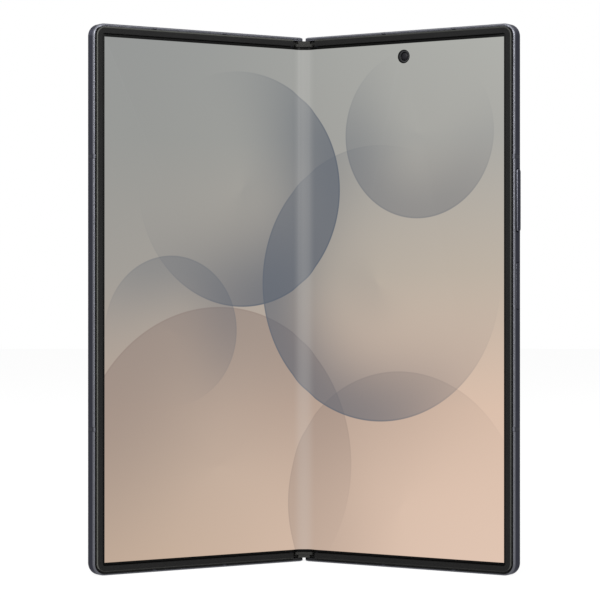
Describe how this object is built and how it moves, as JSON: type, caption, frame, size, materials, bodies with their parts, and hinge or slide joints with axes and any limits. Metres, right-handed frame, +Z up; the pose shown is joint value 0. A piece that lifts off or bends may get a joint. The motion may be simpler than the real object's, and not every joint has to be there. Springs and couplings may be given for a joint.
{
  "type": "foldable smartphone",
  "caption": "Book-style foldable phone, half open on its bottom edge: a bending inner screen over a geared hinge, a cover screen, a camera island, side keys and a card tray.",
  "frame": {"origin": "on the ground, under the middle of the half-open outline", "axes": "+Z up along the hinge, -Y the way the open screen faces, +X towards the half with the keys"},
  "size_m": [0.1242, 0.0416, 0.1584],
  "materials": {
    "frame_metal": "satin anodised dark slate",
    "tray_metal": "satin anodised dark slate",
    "spine_metal": "satin anodised dark slate",
    "antenna_plastic": "satin moulded",
    "rim_plastic": "soft satin black",
    "cap_plastic": "black",
    "inner_screen": "flexible screen, lit",
    "cover_pane": "glossy black glass",
    "cover_panel": "screen behind glass",
    "rear_pane": "satin etched glass",
    "island_metal": "satin anodised",
    "lens_ring_metal": "polished",
    "lens_black": "black lens window",
    "flash": "translucent diffuser",
    "plate_steel": "thin sheet",
    "hinge_steel": "machined",
    "gear_brass": "machined",
    "battery_wrap": "black wrapped pouch cell",
    "board_green": "solder-masked board",
    "shield_steel": "thin can",
    "coil_copper": "wound coil",
    "port_steel": "plain",
    "speaker_black": "moulded box",
    "card_plastic": "printed card",
    "flex_amber": "flexible circuit"
  },
  "bodies": {
    "hinge_spine": {"spine_cover": "spine_metal", "end_cap_top": "cap_plastic", "end_cap_bottom": "cap_plastic", "hinge_bracket_upper": "hinge_steel", "hinge_bracket_lower": "hinge_steel", "display_bend": "inner_screen"},
    "left_half": {"left_frame": "frame_metal", "left_bezel": "rim_plastic", "left_antenna_strips": "antenna_plastic", "left_display_panel": "inner_screen", "left_display_plate": "plate_steel", "cover_glass": "cover_pane", "cover_display": "cover_panel", "cover_camera": "lens_black", "left_battery": "battery_wrap", "left_board": "board_green", "vibration_motor": "port_steel", "top_speaker": "speaker_black", "rotator_left_upper": "hinge_steel", "rotator_left_lower": "hinge_steel"},
    "sim_tray": {"sim_tray": "tray_metal", "sim_card": "card_plastic"},
    "right_half": {"right_frame": "frame_metal", "right_bezel": "rim_plastic", "right_antenna_strips": "antenna_plastic", "right_display_panel": "inner_screen", "right_display_plate": "plate_steel", "rear_glass": "rear_pane", "camera_island": "island_metal", "lens_ring_1": "lens_ring_metal", "lens_ring_2": "lens_ring_metal", "lens_ring_3": "lens_ring_metal", "camera_lens_1": "lens_black", "camera_lens_2": "lens_black", "camera_lens_3": "lens_black", "flash_led": "flash", "front_camera": "lens_black", "main_board": "board_green", "board_shield": "shield_steel", "right_battery": "battery_wrap", "charging_coil": "coil_copper", "usb_port": "port_steel", "lower_board": "board_green", "bottom_speaker": "speaker_black", "key_flex": "flex_amber", "rotator_right_upper": "hinge_steel", "rotator_right_lower": "hinge_steel"},
    "volume_key": {"volume_key": "frame_metal"},
    "side_key": {"side_key": "frame_metal"},
    "left_wing": {"wing_plate_left": "plate_steel"},
    "right_wing": {"wing_plate_right": "plate_steel"},
    "left_sync_arms": {"sync_arm_left_upper": "hinge_steel", "sync_arm_left_lower": "hinge_steel"},
    "right_sync_arms": {"sync_arm_right_upper": "hinge_steel", "sync_arm_right_lower": "hinge_steel"},
    "left_idlers": {"idler_gear_left_upper": "gear_brass", "idler_gear_left_lower": "gear_brass"},
    "right_idlers": {"idler_gear_right_upper": "gear_brass", "idler_gear_right_lower": "gear_brass"}
  },
  "joints": [
    {"name": "left_fold", "type": "hinge", "parent": "hinge_spine", "child": "left_half", "pos_m": [-0.00137, 0.01758, 0.0792], "axis": [0, 0, 1], "range_deg": [-32.5, 57.5], "deforming": ["display_bend"]},
    {"name": "right_fold", "type": "hinge", "parent": "hinge_spine", "child": "right_half", "pos_m": [0.00137, 0.01758, 0.0792], "axis": [0, 0, 1], "range_deg": [-57.5, 32.5], "deforming": ["display_bend"]},
    {"name": "left_wing_tilt", "type": "hinge", "parent": "left_half", "child": "left_wing", "pos_m": [-0.00451, 0.01538, 0.0792], "axis": [0, 0, 1], "range_deg": [-6.5, 11.5]},
    {"name": "right_wing_tilt", "type": "hinge", "parent": "right_half", "child": "right_wing", "pos_m": [0.00451, 0.01538, 0.0792], "axis": [0, 0, 1], "range_deg": [-11.5, 6.5]},
    {"name": "left_arm_turn", "type": "hinge", "parent": "hinge_spine", "child": "left_sync_arms", "pos_m": [-0.00217, 0.01838, 0.0792], "axis": [0, 0, 1], "range_deg": [-32.5, 57.5]},
    {"name": "right_arm_turn", "type": "hinge", "parent": "hinge_spine", "child": "right_sync_arms", "pos_m": [0.00217, 0.01838, 0.0792], "axis": [0, 0, 1], "range_deg": [-57.5, 32.5]},
    {"name": "left_idler_turn", "type": "hinge", "parent": "hinge_spine", "child": "left_idlers", "pos_m": [-0.00072, 0.01838, 0.0792], "axis": [0, 0, 1], "range_deg": [-57.5, 32.5]},
    {"name": "right_idler_turn", "type": "hinge", "parent": "hinge_spine", "child": "right_idlers", "pos_m": [0.00072, 0.01838, 0.0792], "axis": [0, 0, 1], "range_deg": [-32.5, 57.5]},
    {"name": "volume_rock", "type": "hinge", "parent": "right_half", "child": "volume_key", "pos_m": [0.06047, -0.0185, 0.10765], "axis": [0.5373, 0.8434, 0], "range_deg": [-1.2, 1.2], "stiffness_Nm_per_rad": 0.1},
    {"name": "side_press", "type": "slide", "parent": "right_half", "child": "side_key", "axis": [-0.8434, 0.5373, 0], "range_m": [0, 0.00025], "stiffness_N_per_m": 400, "springref_m": -0.002},
    {"name": "sim_tray_slide", "type": "slide", "parent": "left_half", "child": "sim_tray", "axis": [0, 0, 1], "range_m": [0, 0.025]}
  ],
  "couplings": [
    {"joint": "right_fold", "follows": "left_fold", "ratio": -1},
    {"joint": "left_wing_tilt", "follows": "left_fold", "ratio": 0.2},
    {"joint": "right_wing_tilt", "follows": "left_fold", "ratio": -0.2},
    {"joint": "left_arm_turn", "follows": "left_fold", "ratio": 1},
    {"joint": "right_arm_turn", "follows": "left_fold", "ratio": -1},
    {"joint": "left_idler_turn", "follows": "left_fold", "ratio": -1},
    {"joint": "right_idler_turn", "follows": "left_fold", "ratio": 1}
  ]
}
